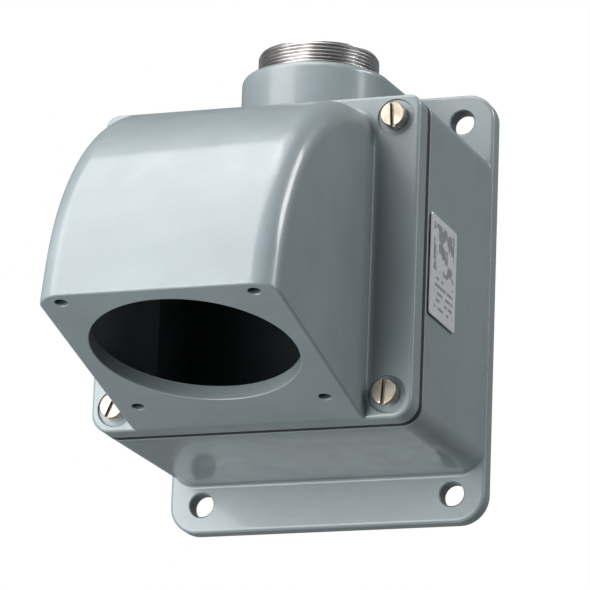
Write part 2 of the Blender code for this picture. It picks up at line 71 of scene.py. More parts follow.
PLATE_W, PLATE_H, PLATE_T = 2 * BOX_HIGH.x, -2 * BOX_LOW.z, 7.5
PLATE_CORNER_R, PLATE_EDGE_R, PLATE_BREAK = 12.0, 1.6, 0.5
WALL_HOLE_DX, WALL_HOLE_DZ, WALL_HOLE_R, WALL_HOLE_BREAK = 108.0, 158.0, 5.0, 0.7

BODY_HALF_W = ADAPTER_HIGH.x
BODY_HALF_H = (ADAPTER_HIGH.z - ADAPTER_LOW.z) / 2
BODY_Z = (ADAPTER_HIGH.z + ADAPTER_LOW.z) / 2
BODY_LOW_Z = ADAPTER_LOW.z
BODY_FRONT_Y = BOX_LOW.y
BODY_TOP_R, BODY_LOW_R = 5.5, 8.0
BODY_DRAFT, BODY_FILLET, BODY_FILLET_SIDE, RIM_ROUND = 0.4, 1.4, 0.4, 1.2
FOOT_Z, FOOT_HALF_H, FOOT_TOP_R, FOOT_LOW_R = -4.0, 66.9, 6.0, 10.0
WALL, FLOOR_Y, POST_R = 4.5, -5.5, 8.5
LUG_PAD_RADII, LUG_PAD_FOOT_H, LUG_PAD_BREAK, LUG_PAD_SINK = (7.6, 7.2, 7.0, 6.6), 1.8, 0.4, 1.5

HUB_Y = (NIPPLE_LOW.y + NIPPLE_HIGH.y) / 2
HUB_R, HUB_TOP_Z, HUB_ROUND, HUB_FILLET, HUB_SPREAD = 31.4, BOX_HIGH.z, 3.2, 3.0, 1.5
HUB_SINK = 3.0
HUB_BORE_R, SEAL_ROOM, SEAL_SEAT_R, SEAL_BREAK = 25.3, 3.4, 28.1, 0.6

FLANGE_BACK_Y = ADAPTER_HIGH.y
FLANGE_FRONT_Y = FLANGE_BACK_Y - 10.2
FLANGE_EDGE_R, FLANGE_BACK_EDGE_R = 1.6, 1.0
HOOD_HALF_W, HOOD_R, HOOD_EDGE_R = 48.0, 111.0, 10.0
HOOD_CENTRE_Y, HOOD_CENTRE_Z = -99.5, -57.0
HOOD_WALL, HOOD_SINK = 4.5, 6.0
ROOT_FLARE, ROOT_LOW_INSET, ROOT_TUCK, ROOT_TUCK_INSET = 2.4, 1.7, 2.0, 1.0
FACE_TILT = math.radians(12.8)
FACE_Y, FACE_Z, FACE_T, FACE_EDGE_R = -163.6, -58.2, 6.0, 1.2
INLET_R, INLET_BREAK = 40.5, 0.5
INLET_DX, INLET_DS, INLET_TAP_R, INLET_TAP_BREAK = 77.0, 85.0, 2.5, 0.25
TAP_PAD_T, TAP_PAD_W, TAP_PAD_SINK, TAP_FLOOR = 12.0, 11.0, 1.1, 2.0
TAP_PAD_SPANS = ((-47.6, -37.4), (37.4, 44.4))     # along the inlet face, from its middle
PASSAGE_LOW_Z = BODY_LOW_Z + WALL + 1.0

SCREW_TAGS = ("tl", "tr", "bl", "br")
SCREW_R, HEAD_R, HEAD_H = 3.0, 5.0, 3.9
SCREW_HOLE_R, SCREW_HOLE_MOUTH_R, SCREW_HOLE_MOUTH_T, SCREW_HOLE_T = 3.1, 3.6, 0.5, 18.0
CLEARANCE_R, GASKET_HOLE_R, GASKET_HOLE_REACH = 3.3, 3.5, 6.0
SPOT_R, SPOT_DEPTH, SPOT_WALL, SPOT_DOME = 7.6, 1.0, 6.0, 9.0
SPOT_FLOOR_ROUND = ((-0.8, 0.0), (-0.2, 0.25), (0.0, 0.8))     # from the wall's radius, up the wall

GASKET_SET_IN, GASKET_BULGE = 0.3, 0.35
GASKET_OPENING_MARGIN_X, GASKET_OPENING_MARGIN_Z, GASKET_OPENING_R = 1.0, 0.5, 6.0

NIPPLE_BORE_R, NIPPLE_THREAD_DEPTH, NIPPLE_PITCH = 21.2, 0.85, 1.5
LOCKNUT_MOUTH_R, LOCKNUT_BORE_R, LOCKNUT_MOUTH_T = 26.3, 25.35, 0.95
LOCKNUT_LUGS, LOCKNUT_LUG_DROP, LOCKNUT_EDGE_R = 8, 1.7, 0.35
THROAT_R, THROAT_LIP_R, BUSHING_EDGE_R = 20.8, 1.4, 1.5
BUSHING_TOP_BREAK_R, BUSHING_TOP_BREAK_H, BUSHING_FLUTES, BUSHING_FLUTE_T = 0.4, 0.6, 32, 0.45

LUG_STRIP_T, LUG_EDGE_R = 2.5, 0.5
BARREL_UP, BARREL_H, BARREL_INSET = 15.0, 12.0, 0.2
BOLT_HOLE_R, BOLT_HOLE_REACH = 2.7, 8.0
WIRE_HOLE_R, WIRE_HOLE_REACH, WIRE_HOLE_OUT, WIRE_HOLE_START = 3.3, 18.0, 5.2, 9.0
CLAMP_HOLE_R, CLAMP_HOLE_REACH = 3.1, 10.0
GROUND_HOLE_R, GROUND_HOLE_T = 2.6, 7.0
WASHER_BORE_R, WASHER_BREAK = 2.75, 0.2
LABEL_CORNER_R = 1.5


# ---------------------------------------------------------------- mesh tools
def loft(bm, rings):
    """Skin closed rings of equal length and cap both ends."""
    loops = [[bm.verts.new(p) for p in ring] for ring in rings]
    count = len(loops[0])
    for a, b in zip(loops, loops[1:]):
        for i in range(count):
            j = (i + 1) % count
            bm.faces.new((a[i], a[j], b[j], b[i]))
    bm.faces.new(loops[0][::-1])
    bm.faces.new(loops[-1])
    return bm


def turned(bm, profile, steps=64, matrix=None):
    """Revolve a closed (radius, height) outline about Z; points at radius 0 become poles."""
    columns, made = [], []
    for r, h in profile:
        angles = [2 * math.pi * i / steps for i in range(steps)] if r > 1e-6 else [0.0]
        column = [bm.verts.new((r * math.cos(t), r * math.sin(t), h)) for t in angles]
        columns.append(column)
        made += column
    for a, b in zip(columns, columns[1:] + columns[:1]):
        if len(a) == 1 and len(b) == 1:
            continue
        for i in range(steps):
            j = (i + 1) % steps
            quad = (a[i % len(a)], a[j % len(a)], b[j % len(b)], b[i % len(b)])
            bm.faces.new(list(dict.fromkeys(quad)))
    if matrix is not None:
        bmesh.ops.transform(bm, matrix=matrix, verts=made)
    return bm


def aim(origin, direction):
    """Matrix that puts local +Z along `direction`, at `origin`."""
    turn = Vector(direction).normalized().to_track_quat("Z", "Y").to_matrix().to_4x4()
    return Matrix.Translation(Vector(origin)) @ turn


def block(bm, low, high):
    x0, y0, z0 = low
    x1, y1, z1 = high
    return loft(bm, [[(x0, y0, z), (x1, y0, z), (x1, y1, z), (x0, y1, z)] for z in (z0, z1)])


def rounded_rect(half_x, half_z, radius, steps=14, low_radius=None):
    """Outline in X and Z about the centre, corner by corner; the lower two corners take
    `low_radius` when it is given."""
    points = []
    for sx, sz, start in ((1, 1, 0), (-1, 1, 90), (-1, -1, 180), (1, -1, 270)):
        r = low_radius if low_radius and sz < 0 else radius
        cx, cz = sx * (half_x - r), sz * (half_z - r)
        for i in range(steps + 1):
            t = math.radians(start + 90 * i / steps)
            points.append((cx + r * math.cos(t), cz + r * math.sin(t)))
    return points


def rect_ring(y, half_x, half_z, radius, centre_z=0.0, low_radius=None):
    outline = rounded_rect(half_x, half_z, radius, low_radius=low_radius)
    return [(x, y, z + centre_z) for x, z in outline]


def rim_ring(y, inset=0.0):
    """Outline shared by the body's rim, the gasket and the adapter's flange."""
    return rect_ring(y, BODY_HALF_W - inset, BODY_HALF_H - inset, BODY_TOP_R - inset, BODY_Z,
                     BODY_LOW_R - inset)


def quarter(radius, steps):
    """Pairs (inset, rise) along a quarter round, from (0, 0) to (radius, radius)."""
    for i in range(steps + 1):
        t = math.radians(90 * i / steps)
        yield radius * (1 - math.cos(t)), radius * math.sin(t)


def raw_object(name, bm):
    """Object from a bmesh drawn in millimetres."""
    bmesh.ops.recalc_face_normals(bm, faces=bm.faces)
    bmesh.ops.scale(bm, verts=bm.verts, vec=(MM, MM, MM))
    mesh = bpy.data.meshes.new(name)
    bm.to_mesh(mesh)
    bm.free()
    obj = bpy.data.objects.new(name, mesh)
    bpy.context.scene.collection.objects.link(obj)
    return obj


def carved(name, bm, steps):
    """Mesh of `bm` after the Boolean `steps`, a list of (operation, bmesh)."""
    obj = raw_object(name, bm)
    tools = []
    for number, (operation, shape) in enumerate(steps):
        tool = raw_object(f"{name}_tool{number}", shape)
        mod = obj.modifiers.new(f"step{number}", "BOOLEAN")
        mod.operation, mod.solver, mod.object = operation, "EXACT", tool
        tools.append(tool)
    return applied(obj, tools)


def applied(obj, extra=()):
    """Mesh of an object with its modifiers applied; the object and the `extra` ones go."""
    graph = bpy.context.evaluated_depsgraph_get()
    mesh = bpy.data.meshes.new_from_object(obj.evaluated_get(graph))
    for used in (obj, *extra):
        bpy.data.objects.remove(used, do_unlink=True)
    return mesh


def piece(name, mesh, mat, body, node, sharp=34.0):
    """Finished piece: smooth shading, its material, its body and the frame node it stands for."""
    mesh.name = name
    mesh.materials.clear()
    mesh.materials.append(mat)
    mesh.shade_smooth()
    mesh.set_sharp_from_angle(angle=math.radians(sharp))
    obj = bpy.data.objects.new(name, mesh)
    bpy.context.scene.collection.objects.link(obj)
    weighted = obj.modifiers.new("weighted_normals", "WEIGHTED_NORMAL")
    weighted.keep_sharp = True
    weighted.weight = 80
    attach(obj, body)
    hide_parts(node)
    return obj


def bm_mesh(name, bm):
    return applied(raw_object(name, bm))


def softened(mesh, width, segments=2, angle=40.0):
    """Same mesh with its sharp edges rounded over by `width` millimetres."""
    obj = bpy.data.objects.new("softening", mesh)
    bpy.context.scene.collection.objects.link(obj)
    mod = obj.modifiers.new("round", "BEVEL")
    mod.width, mod.segments = width * MM, segments
    mod.limit_method, mod.angle_limit = "ANGLE", math.radians(angle)
    mod.use_clamp_overlap = True
    return applied(obj)


# ---------------------------------------------------------------- materials
def shader_of(mat):
    return mat.node_tree.nodes["Principled BSDF"]


def new_material(slot, colour, metallic, roughness):
    """Material for the record's finish called `slot`."""
    mat = bpy.data.materials.new(slot + "_look")
    mat["slot"] = slot
    mat.use_nodes = True
    shader = shader_of(mat)
    shader.inputs["Base Color"].default_value = (*colour, 1.0)
    shader.inputs["Metallic"].default_value = metallic
    shader.inputs["Roughness"].default_value = roughness
    return mat


def add(mat, kind, inputs=None, **settings):
    """New node; `inputs` maps socket names or numbers to a value or to another node's output."""
    node = mat.node_tree.nodes.new(kind)
    for key, value in settings.items():
        setattr(node, key, value)
    for key, value in (inputs or {}).items():
        if isinstance(value, bpy.types.NodeSocket):
            mat.node_tree.links.new(value, node.inputs[key])
        else:
            node.inputs[key].default_value = value
    return node


def link(mat, source, socket):
    mat.node_tree.links.new(source, shader_of(mat).inputs[socket])


def object_coords(mat):
    return add(mat, "ShaderNodeTexCoord").outputs["Object"]


def noise(mat, coords, scale, detail=2.0, rough=0.5):
    """Noise with `scale` cells to the metre."""
    inputs = {"Vector": coords, "Scale": scale, "Detail": detail, "Roughness": rough}
    return add(mat, "ShaderNodeTexNoise", inputs).outputs["Fac"]


def spread(mat, value, low, high, to_low, to_high):
    """Map `value` from low..high to to_low..to_high, clamped."""
    inputs = {"Value": value, "From Min": low, "From Max": high, "To Min": to_low, "To Max": to_high}
    return add(mat, "ShaderNodeMapRange", inputs).outputs["Result"]


def blend_colours(mat, factor, first, second, mode="MIX"):
    inputs = {0: factor, 6: first, 7: second}
    return add(mat, "ShaderNodeMix", inputs, data_type="RGBA", blend_type=mode).outputs[2]


def math_node(mat, operation, first, second=0.0):
    return add(mat, "ShaderNodeMath", {0: first, 1: second}, operation=operation).outputs[0]


def bump(mat, height, strength, distance, below=None):
    inputs = {"Height": height, "Strength": strength, "Distance": distance}
    if below is not None:
        inputs["Normal"] = below
    return add(mat, "ShaderNodeBump", inputs).outputs["Normal"]


def crevice(mat, distance, inside=False):
    """1 on open surface, towards 0 in corners; with `inside`, towards 0 on outer edges."""
    node = add(mat, "ShaderNodeAmbientOcclusion", {"Distance": distance}, samples=6,
               inside=inside, only_local=True)
    return node.outputs["AO"]


PAINT = (0.188, 0.228, 0.245)


def make_paint():
    """Semi-gloss slate enamel over a sand casting."""
    mat = new_material("grey_paint", PAINT, 0.0, 0.36)
    coords = object_coords(mat)
    cloud = noise(mat, coords, 38.0, 3.0)
    fleck = noise(mat, coords, 1500.0, 1.0)
    peel = noise(mat, coords, 620.0, 1.5)
    wave = noise(mat, coords, 120.0, 2.0)
    lighter = tuple(c * 1.06 for c in PAINT)
    darker = tuple(c * 0.95 for c in PAINT)
    tone = blend_colours(mat, spread(mat, cloud, 0.3, 0.7, 0.0, 1.0), (*darker, 1), (*lighter, 1))
    flecked = blend_colours(mat, spread(mat, fleck, 0.56, 0.74, 0.0, 0.13), tone,
                            (*[c * 1.6 for c in PAINT], 1))
    # painted shade: the paint turns darker towards corners and creases, where shade falls, together
    # with a little grime
    grime_and_shade = spread(mat, crevice(mat, 0.004), 0.25, 0.8, 0.45, 0.0)
    grimed_and_shaded = blend_colours(mat, grime_and_shade, flecked, (*[c * 0.45 for c in PAINT], 1))
    # lighter on outer edges: edge wear, and a painted edge highlight
    edge_wear_and_highlight = spread(mat, crevice(mat, 0.0012, inside=True), 0.35, 0.6, 0.35, 0.0)
    worn_and_highlit = blend_colours(mat, edge_wear_and_highlight, grimed_and_shaded, (*[c * 1.7 for c in PAINT], 1))
    # painted shade: near black deep inside hollows such as the hood's inside, where shade falls
    hollow_shade = spread(mat, crevice(mat, 0.12), 0.24, 0.50, 0.985, 0.0)
    link(mat, blend_colours(mat, hollow_shade, worn_and_highlit, (0.004, 0.004, 0.004, 1)), "Base Color")
    link(mat, spread(mat, wave, 0.3, 0.7, 0.31, 0.42), "Roughness")
    swell = bump(mat, wave, 0.25, 0.0004)
    link(mat, bump(mat, peel, 0.32, 0.00012, swell), "Normal")
    shader_of(mat).inputs["Coat Weight"].default_value = 0.4
    shader_of(mat).inputs["Coat Roughness"].default_value = 0.1
    return mat


def make_rubber():
    mat = new_material("black_rubber", (0.012, 0.012, 0.013), 0.0, 0.75)
    coords = object_coords(mat)
    grain = noise(mat, coords, 900.0, 3.0)
    link(mat, blend_colours(mat, grain, (0.008, 0.008, 0.009, 1), (0.022, 0.022, 0.023, 1)),
         "Base Color")
    link(mat, spread(mat, grain, 0.3, 0.7, 0.62, 0.85), "Roughness")
    link(mat, bump(mat, grain, 0.3, 0.0001), "Normal")
    return mat


def make_metal(name, bright, dull, roughness, line_axis="Z", lines=2600.0, relief=0.12,
               grime_and_shade_colour=(0.09, 0.085, 0.08), grime_and_shade_reach=0.0012):
    """Machined metal: fine tool lines across `line_axis`, dull patches, and corners darkened by
    tarnish together with painted shade.
    """
    mat = new_material(name, bright, 1.0, roughness)
    coords = object_coords(mat)
    squash = {"X": (1.0, 0.02, 0.02), "Y": (0.02, 1.0, 0.02), "Z": (0.02, 0.02, 1.0)}[line_axis]
    stretched = add(mat, "ShaderNodeMapping", {"Vector": coords, "Scale": squash}).outputs[0]
    tooling = noise(mat, stretched, lines, 2.0)
    patches = noise(mat, coords, 220.0, 3.0)
    tone = blend_colours(mat, spread(mat, patches, 0.35, 0.7, 0.0, 0.7), (*bright, 1), (*dull, 1))
    # darker in corners and at a head's seat: tarnish, and painted shade
    grime_and_shade = spread(mat, crevice(mat, grime_and_shade_reach), 0.2, 0.75, 0.9, 0.0)
    grimed_and_shaded = blend_colours(mat, grime_and_shade, tone, (*grime_and_shade_colour, 1))
    link(mat, grimed_and_shaded, "Base Color")
    link(mat, spread(mat, patches, 0.3, 0.7, roughness * 0.8, roughness * 1.35), "Roughness")
    link(mat, bump(mat, tooling, relief, 0.00005), "Normal")
    return mat


def make_nylon():
    mat = new_material("black_nylon", (0.022, 0.022, 0.024), 0.0, 0.42)
    coords = object_coords(mat)
    grain = noise(mat, coords, 1300.0, 2.0)
    link(mat, blend_colours(mat, grain, (0.016, 0.016, 0.018, 1), (0.032, 0.032, 0.034, 1)),
         "Base Color")
    link(mat, spread(mat, grain, 0.3, 0.7, 0.36, 0.5), "Roughness")
    link(mat, bump(mat, grain, 0.2, 0.00006), "Normal")
    return mat


def make_green():
    mat = new_material("green_screw", (0.03, 0.22, 0.07), 0.35, 0.38)
    coords = object_coords(mat)
    cloud = noise(mat, coords, 500.0, 2.0)
    tone = blend_colours(mat, cloud, (0.02, 0.17, 0.05, 1), (0.05, 0.29, 0.10, 1))
    # lighter on outer edges: edge wear, and a painted edge highlight
    edge_wear_and_highlight = spread(mat, crevice(mat, 0.0008, inside=True), 0.3, 0.6, 0.7, 0.0)
    link(mat, blend_colours(mat, edge_wear_and_highlight, tone, (0.35, 0.40, 0.33, 1)), "Base Color")
    link(mat, spread(mat, cloud, 0.3, 0.7, 0.3, 0.46), "Roughness")
    link(mat, bump(mat, cloud, 0.1, 0.00005), "Normal")
    return mat


def make_foil(low, high):
    """Brushed foil plate printed with plain dark patches above and a few rows of dashes below,
    inside a clear margin."""
    mat = new_material("silver_foil", (0.6, 0.61, 0.62), 0.6, 0.42)
    coords = object_coords(mat)
    brushed = add(mat, "ShaderNodeMapping", {"Vector": coords, "Scale": (1.0, 0.03, 1.0)})
    streaks = noise(mat, brushed.outputs[0], 2400.0, 2.0)
    foil = blend_colours(mat, streaks, (0.74, 0.76, 0.79, 1), (0.92, 0.93, 0.95, 1))
    place = add(mat, "ShaderNodeSeparateXYZ", {0: coords}).outputs
    across = spread(mat, place["Y"], low.y * MM, high.y * MM, 0.0, 1.0)
    upward = spread(mat, place["Z"], low.z * MM, high.z * MM, 0.0, 1.0)

    def inside(value, start, end):
        above = math_node(mat, "GREATER_THAN", value, start)
        return math_node(mat, "MULTIPLY", above, math_node(mat, "LESS_THAN", value, end))

    def both(first, second):
        return math_node(mat, "MULTIPLY", first, second)

    rows = 14.0
    row = math_node(mat, "MULTIPLY", upward, rows)
    in_row = inside(math_node(mat, "FRACT", row), 0.3, 0.7)
    row_number = math_node(mat, "FLOOR", row)
    cells = add(mat, "ShaderNodeCombineXYZ", {0: math_node(mat, "MULTIPLY", across, 22.0),
                                              1: math_node(mat, "MULTIPLY", row_number, 7.3)})
    dashes = add(mat, "ShaderNodeTexNoise", {"Vector": cells.outputs[0], "Scale": 0.42,
                                             "Detail": 0.0}).outputs["Fac"]
    dash = both(in_row, math_node(mat, "GREATER_THAN", dashes, 0.5))
    dash = both(dash, both(inside(across, 0.16, 0.88), inside(upward, 0.07, 0.42)))
    patch = spread(mat, noise(mat, coords, 130.0, 2.0, 0.6), 0.47, 0.53, 0.0, 1.0)
    patch = both(patch, both(inside(across, 0.10, 0.90), inside(upward, 0.46, 0.93)))
    ink = math_node(mat, "MULTIPLY", math_node(mat, "MAXIMUM", dash, patch), 0.82)
    link(mat, blend_colours(mat, ink, foil, (0.09, 0.10, 0.105, 1)), "Base Color")
    link(mat, math_node(mat, "SUBTRACT", 0.6, math_node(mat, "MULTIPLY", ink, 0.7)), "Metallic")
    link(mat, spread(mat, streaks, 0.3, 0.7, 0.3, 0.42), "Roughness")
    link(mat, bump(mat, streaks, 0.08, 0.00005), "Normal")
    return mat


# ---------------------------------------------------------------- castings
def cavity_outline():
    """Inside of the box: a rectangle whose corners step in around the screw posts."""
    a, b = BODY_HALF_W - WALL, BODY_HALF_H - WALL
    c = SCREW_HALF_PITCH
    start = math.atan2(-math.sqrt(POST_R ** 2 - (a - c) ** 2), a - c)
    end = math.atan2(b - c, -math.sqrt(POST_R ** 2 - (b - c) ** 2)) - 2 * math.pi
    steps = 18
    corner = []
    for i in range(steps + 1):
        t = start + (end - start) * i / steps
        corner.append((c + POST_R * math.cos(t), c + POST_R * math.sin(t)))
    points = list(corner)
    points += [(-x, z) for x, z in reversed(corner)]
    points += [(-x, -z) for x, z in corner]
    points += [(x, -z) for x, z in reversed(corner)]
    return points


def hub_ring(z, inset):
    """Outline of the hub: round to the front, straight back to the plate, which it meets in a
    small fillet."""
    r = HUB_R - inset
    ring = []
    for i in range(49):
        t = math.radians(180 + 180 * i / 48)
        ring.append((r * math.cos(t), HUB_Y + r * math.sin(t)))
    fillet = HUB_FILLET
    foot = r + HUB_SPREAD
    for i in range(1, 6):
        t = math.radians(90 * i / 5)
        ring.append((foot + fillet * (1 - math.cos(t)), -PLATE_T - fillet * (1 - math.sin(t))))
    ring += [(foot + fillet, -PLATE_T / 2), (-foot - fillet, -PLATE_T / 2)]
    for i in range(5, 0, -1):
        t = math.radians(90 * i / 5)
        ring.append((-foot - fillet * (1 - math.cos(t)), -PLATE_T - fillet * (1 - math.sin(t))))
    return [(x, y, z) for x, y in ring]


def build_box(paint):
    half_w, half_h = PLATE_W / 2, PLATE_H / 2
    rings = [rect_ring(0.0, half_w - PLATE_BREAK, half_h - PLATE_BREAK,
                       PLATE_CORNER_R - PLATE_BREAK),
             rect_ring(-PLATE_BREAK, half_w, half_h, PLATE_CORNER_R)]
    rings += [rect_ring(-PLATE_T + PLATE_EDGE_R - rise, half_w - inset, half_h - inset,
                        PLATE_CORNER_R - inset) for inset, rise in quarter(PLATE_EDGE_R, 6)]
    plate = loft(bmesh.new(), rings)

    def foot_ring(y, swell):
        return rect_ring(y, BODY_HALF_W + BODY_DRAFT + BODY_FILLET_SIDE * swell,
                         FOOT_HALF_H + BODY_FILLET * swell, FOOT_TOP_R + swell, FOOT_Z,
                         FOOT_LOW_R + swell)

    rings = [foot_ring(-PLATE_T / 2, 1.0)]
    rings += [foot_ring(-PLATE_T - BODY_FILLET * inset, 1 - rise) for inset, rise in quarter(1.0, 6)]
    rings += [rim_ring(BODY_FRONT_Y + RIM_ROUND - rise, inset)
              for inset, rise in quarter(RIM_ROUND, 5)]
    body = loft(bmesh.new(), rings)

    top = BODY_Z + BODY_HALF_H
    levels = [(top - HUB_SINK, -HUB_FILLET)]
    levels += [(top + HUB_FILLET * inset, -HUB_FILLET * (1 - rise))
               for inset, rise in quarter(1.0, 6)]
    levels += [(HUB_TOP_Z - HUB_ROUND + rise, inset) for inset, rise in quarter(HUB_ROUND, 10)]
    hub = loft(bmesh.new(), [hub_ring(z, inset) for z, inset in levels])

    outline = cavity_outline()
    cavity = loft(bmesh.new(), [[(x, y, z + BODY_Z) for x, z in outline]
                                for y in (FLOOR_Y, BODY_FRONT_Y - HOLLOW_CLEAR)])

    pad_y = node_box("ground_lug")[1].y + GAP
    pad_back = FLOOR_Y + LUG_PAD_SINK
    length = pad_back - pad_y
    foot_r, foot_top_r, pad_r, pad_top_r = LUG_PAD_RADII
    pad = turned(bmesh.new(), [(0, 0), (foot_r, 0), (foot_top_r, LUG_PAD_FOOT_H),
                               (pad_r, length - LUG_PAD_BREAK), (pad_top_r, length), (0, length)],
                 40, aim((GROUND_X, pad_back, GROUND_Z), (0, -1, 0)))

    holes = bmesh.new()
    mouth_r, out = WALL_HOLE_R + WALL_HOLE_BREAK, PLATE_T + CLEAR
    for sx in (-1, 1):
        for sz in (-1, 1):
            turned(holes, [(0, -CLEAR), (WALL_HOLE_R, -CLEAR),
                           (WALL_HOLE_R, PLATE_T - WALL_HOLE_BREAK),
                           (WALL_HOLE_R + 0.2, PLATE_T - 0.3), (mouth_r, PLATE_T),
                           (mouth_r, out), (0, out)], 56,
                   aim((sx * WALL_HOLE_DX / 2, 0.0, sz * WALL_HOLE_DZ / 2), (0, -1, 0)))
    for tag in SCREW_TAGS:
        x, z = screw_axis(tag)
        turned(holes, [(0, -CLEAR), (SCREW_HOLE_MOUTH_R, -CLEAR), (SCREW_HOLE_MOUTH_R, 0.0),
                       (SCREW_HOLE_R, SCREW_HOLE_MOUTH_T), (SCREW_HOLE_R, SCREW_HOLE_T),
                       (0, SCREW_HOLE_T)], 32, aim((x, BODY_FRONT_Y, z), (0, 1, 0)))
    turned(holes, [(0, -CLEAR), (GROUND_HOLE_R, -CLEAR), (GROUND_HOLE_R, GROUND_HOLE_T),
                   (0, GROUND_HOLE_T)], 32, aim((GROUND_X, pad_y, GROUND_Z), (0, 1, 0)))
    below, seat, above = NIPPLE_LOW.z - CLEAR, HUB_TOP_Z - SEAL_ROOM, HUB_TOP_Z + CLEAR
    turned(holes, [(0, below), (HUB_BORE_R, below), (HUB_BORE_R, seat), (SEAL_SEAT_R, seat),
                   (SEAL_SEAT_R, HUB_TOP_Z - SEAL_BREAK), (SEAL_SEAT_R + SEAL_BREAK, HUB_TOP_Z),
                   (SEAL_SEAT_R + SEAL_BREAK, above), (0, above)], 96,
           Matrix.Translation((0, HUB_Y, 0)))

    mesh = carved("box_casting", plate, [("UNION", body), ("UNION", hub), ("DIFFERENCE", cavity),
                                         ("UNION", pad), ("DIFFERENCE", holes)])
    return piece("box_casting", mesh, paint, "box", "back_box")


def hood_side(inset, floor, low, back_y, lip_r=0.0):
    """Side outline in (y, z): the quarter-round top moved in by `inset`, the inclined face moved
    up by `floor`, the underside at `low`, ending at `back_y`; the lip is rounded by `lip_r`."""
    radius = HOOD_R - inset
    down = Vector((-math.sin(FACE_TILT), -math.cos(FACE_TILT)))
    rearward = Vector((math.cos(FACE_TILT), -math.sin(FACE_TILT)))
    centre = Vector((HOOD_CENTRE_Y, HOOD_CENTRE_Z))
    first = math.pi / 2 - FACE_TILT
    steps = 44
    arc = []
    for i in range(steps + 1):
        t = first * (1 - i / steps)
        arc.append(centre + radius * Vector((-math.sin(t), math.cos(t))))
    face_point = Vector((FACE_Y, FACE_Z)) - floor * down
    lip = arc[0] + (face_point - arc[0]).dot(down) * down
    heel = lip + rearward * ((lip.y - low) / math.sin(FACE_TILT))
    points = []
    if lip_r:
        pivot = lip - lip_r * down + lip_r * rearward
        for i in range(6):
            t = math.radians(90 * i / 5)
            points.append(pivot + lip_r * (down * math.cos(t) - rearward * math.sin(t)))
    else:
        points.append(lip)
    points += arc + [Vector((back_y, arc[-1].y)), Vector((back_y, low)), heel]
    return [(p.x, p.y) for p in points]


def hood_solid(wall, floor, low, back_y, edge_r, face_r, segments):
    """Skin the side outline across X. Towards each side the top draws in along a quarter circle
    of `edge_r`, and the inclined face along one of `face_r`."""
    half = HOOD_HALF_W - wall
    distances = {edge_r * (1 - math.cos(math.radians(90 * i / segments)))
                 for i in range(segments + 1)}
    if face_r:
        distances |= {face_r * (1 - math.cos(math.radians(90 * i / 5))) for i in range(6)}
    stations = []
    for inward in sorted(distances):
        stations.append((half - inward, drawn_in(inward, edge_r), drawn_in(inward, face_r)))
    stations = [(-x, top, face) for x, top, face in stations] + stations[::-1]
    return loft(bmesh.new(), [
        [(x, y, z) for y, z in hood_side(wall + top, floor + face, low + face, back_y, face_r)]
        for x, top, face in stations])


def drawn_in(inward, radius):
    """How far a surface stands back at `inward` from a side it rounds into with `radius`."""
    if inward >= radius:
        return 0.0
    return radius - math.sqrt(radius ** 2 - (radius - inward) ** 2)


def face_matrix(x, s):
    """Frame on the inlet face: X across, Y forward and up along it, +Z out of the face."""
    c, k = math.cos(FACE_TILT), math.sin(FACE_TILT)
    matrix = Matrix(((1, 0, 0), (0, -c, -k), (0, k, -c))).to_4x4()
    matrix.translation = (x, FACE_Y - s * c, FACE_Z + s * k)
    return matrix


